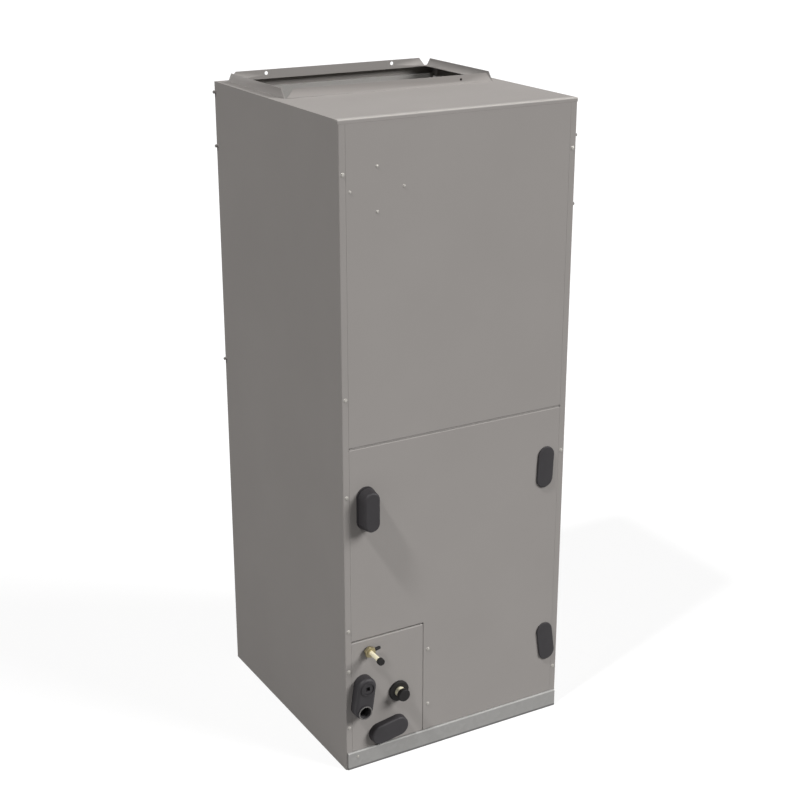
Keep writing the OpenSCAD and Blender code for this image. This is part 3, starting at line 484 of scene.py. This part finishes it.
# fin coil: foil fins on a 2 mm pitch (14 to the inch in the real one) between two tube sheets
coil = {"pitch": 2.0, "fin": 0.25, "half": 210, "finInset": (0.02, 0.003), "sheet": 1.5, "sheetGap": 0.5,
        "tubePitch": 25.4, "tubeRows": (0.27, 0.73), "tubeR": 4.76, "tubeSides": 10,
        "bendR": 12.7, "bendSteps": 9}
finTree, given, out = newTree("finStack", {
    "Count": "NodeSocketInt", "Pitch": "NodeSocketFloat", "Finish": "NodeSocketMaterial"})
step = addNode(finTree, "ShaderNodeCombineXYZ", links={"Y": given["Pitch"]})
row = addNode(finTree, "GeometryNodeMeshLine", links={"Count": given["Count"], "Offset": step.outputs[0]})
stacked = addNode(finTree, "GeometryNodeInstanceOnPoints",
                  links={"Points": row.outputs[0], "Instance": given["Geometry"]})
real = addNode(finTree, "GeometryNodeRealizeInstances", links={"Geometry": stacked.outputs[0]})
coated = addNode(finTree, "GeometryNodeSetMaterial",
                 links={"Geometry": real.outputs[0], "Material": given["Finish"]})
finTree.links.new(coated.outputs[0], out["Geometry"])

bendTree, given, out = newTree("returnBends", {
    "Bend Radius": "NodeSocketFloat", "Tube Radius": "NodeSocketFloat", "Finish": "NodeSocketMaterial"})
arc = addNode(bendTree, "GeometryNodeCurveArc",
              values={"Resolution": coil["bendSteps"], "Sweep Angle": math.pi},
              links={"Radius": given["Bend Radius"]})
ring = addNode(bendTree, "GeometryNodeCurvePrimitiveCircle", values={"Resolution": coil["tubeSides"]},
               links={"Radius": given["Tube Radius"]})
bend = addNode(bendTree, "GeometryNodeCurveToMesh", values={"Fill Caps": True},
               links={"Curve": arc.outputs[0], "Profile Curve": ring.outputs[0]})
bend = addNode(bendTree, "GeometryNodeSetShadeSmooth", links={"Geometry": bend.outputs[0]})
along = addNode(bendTree, "GeometryNodeInputNamedAttribute", {"data_type": "FLOAT_VECTOR"},
                {"Name": "along"})
facing = addNode(bendTree, "GeometryNodeInputNamedAttribute", {"data_type": "FLOAT_VECTOR"},
                 {"Name": "facing"})
lean = addNode(bendTree, "FunctionNodeAlignRotationToVector", {"axis": "X"},
               links={"Vector": along.outputs[0]})
stand = addNode(bendTree, "FunctionNodeAlignRotationToVector", {"axis": "Y", "pivot_axis": "X"},
                links={"Rotation": lean.outputs[0], "Vector": facing.outputs[0]})
placed = addNode(bendTree, "GeometryNodeInstanceOnPoints",
                 links={"Points": given["Geometry"], "Instance": bend.outputs[0],
                        "Rotation": stand.outputs[0]})
real = addNode(bendTree, "GeometryNodeRealizeInstances", links={"Geometry": placed.outputs[0]})
coated = addNode(bendTree, "GeometryNodeSetMaterial",
                 links={"Geometry": real.outputs[0], "Material": given["Finish"]})
bendTree.links.new(coated.outputs[0], out["Geometry"])

endY = coil["half"] * mm
sheetIn, sheetOut = endY + coil["sheetGap"] * mm, endY + (coil["sheetGap"] + coil["sheet"]) * mm
acrossIn, ridgeIn = coil["finInset"]  # shares of the slab that the fins stay back at its edges
sheets = bmesh.new()
bends = []
for node in ("coil_left_slab", "coil_right_slab"):
    foot, across, ridge = slabFrame(node)
    fin = bmesh.new()
    addBlock(fin, foot + Vector((0, -endY, 0)) + across * acrossIn + ridge * ridgeIn,
             (across * (1 - 2 * acrossIn), ridge * (1 - 2 * ridgeIn), Vector((0, coil["fin"] * mm, 0))))
    count = int(2 * coil["half"] / coil["pitch"]) + 1
    stack = growPiece(node + "Fins", meshOf(node + "Fin", fin), finTree,
                      {"Count": count, "Pitch": coil["pitch"] * mm, "Finish": finFoil})
    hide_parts(node)
    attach(stack, "root")
    for side in (-1, 1):
        thick = Vector((0, side * coil["sheet"] * mm, 0))
        addBlock(sheets, foot + Vector((0, side * sheetIn, 0)), (across, ridge, thick))
        # hairpins at one end and return bends at the other join different pairs
        first = 1 if side < 0 else 2
        pairs = int(ridge.length / mm / coil["tubePitch"] / 2) - 1
        for offset, share in enumerate(coil["tubeRows"]):
            for i in range(pairs):
                up = (first + 2 * i + offset / 2) * coil["tubePitch"] * mm
                spot = foot + across * share + ridge.normalized() * up
                spot.y = side * sheetOut
                bends.append((spot, ridge.normalized(), (0, side, 0)))
tubeSheets = bpy.data.objects.new("coilTubeSheets", meshOf("coilTubeSheets", sheets))
scene.collection.objects.link(tubeSheets)
tubeSheets.data.materials.append(galvanisedSteel)
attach(tubeSheets, "root")
seed = bpy.data.meshes.new("coilReturnBends")
seed.from_pydata([spot for spot, _, _ in bends], [], [])
for name, place in (("along", 1), ("facing", 2)):
    aim = seed.attributes.new(name, "FLOAT_VECTOR", "POINT")
    for i, tubeEnd in enumerate(bends):
        aim.data[i].vector = tubeEnd[place]
returnBends = growPiece("coilReturnBends", seed, bendTree, {
    "Bend Radius": coil["bendR"] * mm, "Tube Radius": coil["tubeR"] * mm, "Finish": copperTube})
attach(returnBends, "root")
print("coil set,", len(bends), "return bends")

hair = 0.001  # millimetres that count as touching
smoothBelow = math.radians(30)  # sharper edges than this stay creased


# a node's own shape, merged, ready to be bent or turned
def shapeOf(node):
    shape = bmesh.new()
    shape.from_mesh(bpy.data.objects[node].data)
    bmesh.ops.remove_doubles(shape, verts=shape.verts, dist=hair * mm)
    return shape


# puts a changed shape in the place of its node
def standIn(name, shape, node, finish):
    mesh = meshOf(name, shape)
    mesh.shade_smooth()
    mesh.set_sharp_from_angle(angle=smoothBelow)
    mesh.materials.append(finish)
    piece = bpy.data.objects.new(name, mesh)
    scene.collection.objects.link(piece)
    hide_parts(node)
    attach(piece, "root")


# the top with its front bend folded as tight as the sheet allows, otherwise its node's own shape
lid = {"nodeBend": 5.0, "bend": 2.0}
top = shapeOf("top_panel")
for vertex in top.verts:
    back = (vertex.co.y - frontY) / mm - lid["nodeBend"]  # from the bend's own centre
    down = (lidZ - vertex.co.z) / mm - lid["nodeBend"]
    if back < hair and down < hair:
        reach = math.hypot(back, down)
        shrink = (reach - lid["nodeBend"] + lid["bend"]) / reach
        vertex.co.y = frontY + (lid["bend"] + back * shrink) * mm
        vertex.co.z = lidZ - (lid["bend"] + down * shrink) * mm
standIn("foldedTop", top, "top_panel", powderCoat)
print("top folded")

# the two right plugs, their heads pushed in a few degrees off upright over the straight skirts
plugs = {"upperRightPlug": {"node": "upper_right_drain_plug", "lean": -2.5},
         "lowerRightPlug": {"node": "lower_right_drain_plug", "lean": 8.5}}
skirt = 14.5  # half width that the skirts stay under
for name, plug in plugs.items():
    low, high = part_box(plug["node"])
    middle, halfW, halfL = (low + high) / 2, (high.x - low.x) / 2, (high.z - low.z) / 2
    lean = math.radians(plug["lean"])
    head = shapeOf(plug["node"])
    for vertex in head.verts:
        across, up = vertex.co.x - middle.x, vertex.co.z - middle.z
        if math.hypot(across, max(abs(up) - halfL + halfW, 0)) > skirt * mm:
            vertex.co.x = middle.x + across * math.cos(lean) - up * math.sin(lean)
            vertex.co.z = middle.z + across * math.sin(lean) + up * math.cos(lean)
    standIn(name, head, plug["node"], blackAbs)
print("plugs turned")

# foam seal in the seam between the two large panels, its face just behind theirs
seal = {"endGap": 1.5,
        "profile": [(0.75, 1.7), (0.55, 0.9), (0.5, 0.0), (0.55, -0.9), (0.75, -1.7), (1.3, -1.22),
                    (2.2, -0.8), (4.0, -0.66), (4.0, 0.66), (2.2, 0.8), (1.3, 1.22)]}
seamZ = (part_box("upper_front_panel")[0][2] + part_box("coil_access_panel")[1][2]) / 2
sealEnds = (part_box("left_side_panel")[1][0] + seal["endGap"] * mm,
            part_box("right_side_panel")[0][0] - seal["endGap"] * mm)
strip = bmesh.new()
rims = [[strip.verts.new((x, frontY + depth * mm, seamZ + up * mm)) for depth, up in seal["profile"]]
        for x in sealEnds]
for rim in rims:
    strip.faces.new(rim)
for i in range(len(seal["profile"])):
    k = (i + 1) % len(seal["profile"])
    strip.faces.new((rims[0][i], rims[0][k], rims[1][k], rims[1][i]))
seamSeal = bpy.data.objects.new("seamSeal", meshOf("seamSeal", strip))
scene.collection.objects.link(seamSeal)
seamSeal.data.materials.append(foamTape)
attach(seamSeal, "root")
print("seam seal set")

# pipe thread in the open drain socket: 14 turns to the inch
mounts = {mount["name"]: mount for mount in frame["record"]["mounts"]}
socketX, socketY, socketZ = mounts["lower_drain_socket"]["pos_m"]
socket = {"radius": mounts["lower_drain_socket"]["dims"]["r_mm"], "pitch": 1.81, "turns": 10, "ridge": 1.0,
          "ridgeSink": 0.1, "turnSteps": 40, "ridgeSides": 4,
          "wall": 2.5, "lip": 0.5, "lipSink": 0.2, "lipSlant": 0.3, "lipSteps": 48}
threadTree, given, out = newTree("pipeThread", {
    "Turns": "NodeSocketFloat", "Pitch": "NodeSocketFloat", "Radius": "NodeSocketFloat",
    "Ridge": "NodeSocketFloat", "Finish": "NodeSocketMaterial"})
rise = addNode(threadTree, "ShaderNodeMath", {"operation": "MULTIPLY"},
               links={0: given["Turns"], 1: given["Pitch"]})
helix = addNode(threadTree, "GeometryNodeCurveSpiral", values={"Resolution": socket["turnSteps"]},
                links={"Rotations": given["Turns"], "Start Radius": given["Radius"],
                       "End Radius": given["Radius"], "Height": rise.outputs[0]})
crest = addNode(threadTree, "GeometryNodeCurvePrimitiveCircle", links={"Radius": given["Ridge"]},
                values={"Resolution": socket["ridgeSides"]})
ridgeMesh = addNode(threadTree, "GeometryNodeCurveToMesh", values={"Fill Caps": True},
                    links={"Curve": helix.outputs[0], "Profile Curve": crest.outputs[0]})
laid = addNode(threadTree, "GeometryNodeTransform", values={"Rotation": (math.radians(90), 0, 0)},
               links={"Geometry": ridgeMesh.outputs[0]})
placed = addNode(threadTree, "GeometryNodeInstanceOnPoints",
                 links={"Points": given["Geometry"], "Instance": laid.outputs[0]})
real = addNode(threadTree, "GeometryNodeRealizeInstances", links={"Geometry": placed.outputs[0]})
coated = addNode(threadTree, "GeometryNodeSetMaterial",
                 links={"Geometry": real.outputs[0], "Material": given["Finish"]})
threadTree.links.new(coated.outputs[0], out["Geometry"])
seed = bpy.data.meshes.new("drainThread")
threadEnd = socketY + socket["turns"] * socket["pitch"] / 2 * mm
seed.from_pydata([(socketX, threadEnd, socketZ)], [], [])
drainThread = growPiece("drainThread", seed, threadTree, {
    "Turns": float(socket["turns"]), "Pitch": socket["pitch"] * mm,
    "Radius": (socket["radius"] + socket["ridgeSink"]) * mm, "Ridge": socket["ridge"] * mm,
    "Finish": blackAbs})
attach(drainThread, "root")
print("drain thread set")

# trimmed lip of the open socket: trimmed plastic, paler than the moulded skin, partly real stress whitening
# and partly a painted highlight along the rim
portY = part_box("drain_port_block")[0][1]
inner, outer = socket["radius"] * mm, (socket["radius"] + socket["wall"]) * mm
slant = socket["lipSlant"] * mm
profile = [(inner, socket["lipSink"]), (inner + slant, -socket["lip"]), (outer - slant, -socket["lip"]),
           (outer, socket["lipSink"])]
lip = bmesh.new()
rings = []
for i in range(socket["lipSteps"]):
    a = 2 * math.pi * i / socket["lipSteps"]
    rings.append([lip.verts.new((socketX + r * math.cos(a), portY + y * mm, socketZ + r * math.sin(a)))
                  for r, y in profile])
for i, ring in enumerate(rings):
    after = rings[(i + 1) % len(rings)]
    for j in range(len(profile)):
        k = (j + 1) % len(profile)
        lip.faces.new((ring[j], ring[k], after[k], after[j]))
socketLip = bpy.data.objects.new("drainSocketLip", meshOf("drainSocketLip", lip))
scene.collection.objects.link(socketLip)
socketLip.data.materials.append(trimmedAbs)
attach(socketLip, "root")
print("socket lip set")
